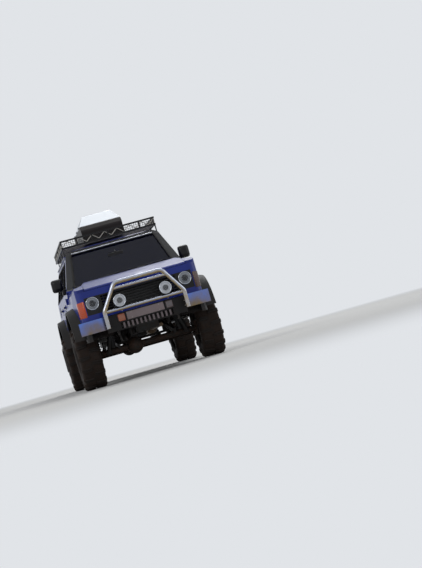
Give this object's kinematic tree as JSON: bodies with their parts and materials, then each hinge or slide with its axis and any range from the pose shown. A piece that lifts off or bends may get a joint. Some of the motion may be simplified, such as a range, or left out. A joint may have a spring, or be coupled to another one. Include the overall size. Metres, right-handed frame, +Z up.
{
  "type": "lifted off-road estate car",
  "caption": "Raised four-wheel-drive estate with bull bar, spot lamps, wide wheel flares, roof rack and roof box, opening doors, bonnet and box lid, steered and turning wheels.",
  "frame": {"origin": "on the ground under the middle of the vehicle's length and width", "axes": "-Y towards the front of the vehicle, +X towards its left side, +Z up"},
  "size_m": [2.064, 5.28, 2.5436],
  "materials": {
    "frame_steel": "satin black chassis paint",
    "axle_iron": "rough cast, painted black",
    "spring_steel": "satin black",
    "shaft_steel": "satin dark grey",
    "engine_iron": "rough cast",
    "radiator_aluminium": "finned",
    "tank_plastic": "moulded",
    "exhaust_steel": "heat dulled",
    "floor_paint": "satin primer and body paint",
    "body_paint": "gloss dark blue",
    "black_plastic": "grained",
    "lamp_glass": "clear, ribbed",
    "amber_plastic": "ribbed lens",
    "red_plastic": "ribbed lens",
    "bright_steel": "polished tube and pressing",
    "black_steel": "satin black powder coat",
    "plate_paint": "blank reflective sheet",
    "rack_steel": "black powder coat",
    "box_dark_plastic": "thermoformed",
    "box_white_plastic": "thermoformed",
    "window_glass": "tinted float glass",
    "cabin_plastic": "grained",
    "seat_fabric": "woven",
    "tyre_rubber": "moulded rubber",
    "rim_steel": "satin dark grey"
  },
  "bodies": {
    "body": {"chassis_frame": "frame_steel", "front_axle": "axle_iron", "rear_axle": "axle_iron", "suspension": "spring_steel", "propeller_shafts": "shaft_steel", "engine": "engine_iron", "radiator": "radiator_aluminium", "fuel_tank": "tank_plastic", "exhaust": "exhaust_steel", "floor_pan": "floor_paint", "load_floor": "floor_paint", "body_side_left": "body_paint", "body_side_right": "body_paint", "roof": "body_paint", "rear_frame": "body_paint", "front_wings": "body_paint", "nose_panel": "body_paint", "grille": "black_plastic", "headlamps": "lamp_glass", "corner_lamps": "amber_plastic", "tail_lamps": "red_plastic", "bumper_corners": "bright_steel", "front_bumper": "black_steel", "bull_bar": "bright_steel", "spot_lamps": "lamp_glass", "number_plates": "plate_paint", "rear_bumper": "black_steel", "wheel_flares": "black_plastic", "roof_rack": "rack_steel", "roof_box_base": "box_dark_plastic", "fixed_glass": "window_glass", "dashboard": "cabin_plastic", "seats": "seat_fabric"},
    "tail_door": {"rear_door": "body_paint", "rear_door_glass": "window_glass", "spare_tyre": "tyre_rubber", "spare_rim": "rim_steel"},
    "bonnet_panel": {"bonnet": "body_paint"},
    "box_lid": {"roof_box_lid": "box_white_plastic"},
    "tie_rod_link": {"tie_rod": "shaft_steel"},
    "steered_left": {"knuckle_left": "axle_iron"},
    "front_side_door_left": {"front_door_left": "body_paint", "front_glass_left": "window_glass", "mirror_left": "black_plastic"},
    "rear_side_door_left": {"rear_door_left": "body_paint", "rear_glass_left": "window_glass"},
    "front_wheel_left": {"front_tyre_left": "tyre_rubber", "front_rim_left": "rim_steel"},
    "rear_wheel_left": {"rear_tyre_left": "tyre_rubber", "rear_rim_left": "rim_steel"},
    "steered_right": {"knuckle_right": "axle_iron"},
    "front_side_door_right": {"front_door_right": "body_paint", "front_glass_right": "window_glass", "mirror_right": "black_plastic"},
    "rear_side_door_right": {"rear_door_right": "body_paint", "rear_glass_right": "window_glass"},
    "front_wheel_right": {"front_tyre_right": "tyre_rubber", "front_rim_right": "rim_steel"},
    "rear_wheel_right": {"rear_tyre_right": "tyre_rubber", "rear_rim_right": "rim_steel"}
  },
  "joints": [
    {"name": "steer_left", "type": "hinge", "parent": "body", "child": "steered_left", "pos_m": [0.72, -1.61, 0.437], "axis": [0, 0, 1], "range_deg": [-28, 28]},
    {"name": "front_wheel_left_spin", "type": "hinge", "parent": "steered_left", "child": "front_wheel_left", "pos_m": [0.85, -1.61, 0.437], "axis": [1, 0, 0], "continuous": true},
    {"name": "rear_wheel_left_spin", "type": "hinge", "parent": "body", "child": "rear_wheel_left", "pos_m": [0.85, 1.36, 0.437], "axis": [1, 0, 0], "continuous": true},
    {"name": "front_door_left_hinge", "type": "hinge", "parent": "body", "child": "front_side_door_left", "pos_m": [0.892, -0.981, 1], "axis": [0, 0, -1], "range_deg": [0, 68]},
    {"name": "rear_door_left_hinge", "type": "hinge", "parent": "body", "child": "rear_side_door_left", "pos_m": [0.892, 0.082, 1], "axis": [0, 0, -1], "range_deg": [0, 66]},
    {"name": "steer_right", "type": "hinge", "parent": "body", "child": "steered_right", "pos_m": [-0.72, -1.61, 0.437], "axis": [0, 0, 1], "range_deg": [-28, 28]},
    {"name": "front_wheel_right_spin", "type": "hinge", "parent": "steered_right", "child": "front_wheel_right", "pos_m": [-0.85, -1.61, 0.437], "axis": [1, 0, 0], "continuous": true},
    {"name": "rear_wheel_right_spin", "type": "hinge", "parent": "body", "child": "rear_wheel_right", "pos_m": [-0.85, 1.36, 0.437], "axis": [1, 0, 0], "continuous": true},
    {"name": "front_door_right_hinge", "type": "hinge", "parent": "body", "child": "front_side_door_right", "pos_m": [-0.892, -0.981, 1], "axis": [0, 0, 1], "range_deg": [0, 68]},
    {"name": "rear_door_right_hinge", "type": "hinge", "parent": "body", "child": "rear_side_door_right", "pos_m": [-0.892, 0.082, 1], "axis": [0, 0, 1], "range_deg": [0, 66]},
    {"name": "tail_door_hinge", "type": "hinge", "parent": "body", "child": "tail_door", "pos_m": [-0.712, 2.285, 1.3], "axis": [0, 0, 1], "range_deg": [0, 95]},
    {"name": "bonnet_hinge", "type": "hinge", "parent": "body", "child": "bonnet_panel", "pos_m": [0, -1.113, 1.452], "axis": [-1, 0, 0], "range_deg": [0, 52]},
    {"name": "box_lid_hinge", "type": "hinge", "parent": "body", "child": "box_lid", "pos_m": [-0.364, 0.6, 2.362], "axis": [0, -1, 0], "range_deg": [0, 60]},
    {"name": "tie_rod_pivot", "type": "hinge", "parent": "steered_left", "child": "tie_rod_link", "pos_m": [0.72, -1.425, 0.377], "axis": [0, 0, 1], "range_deg": [-28, 28]}
  ],
  "couplings": [
    {"joint": "steer_right", "follows": "steer_left", "ratio": 1},
    {"joint": "tie_rod_pivot", "follows": "steer_left", "ratio": -1}
  ]
}
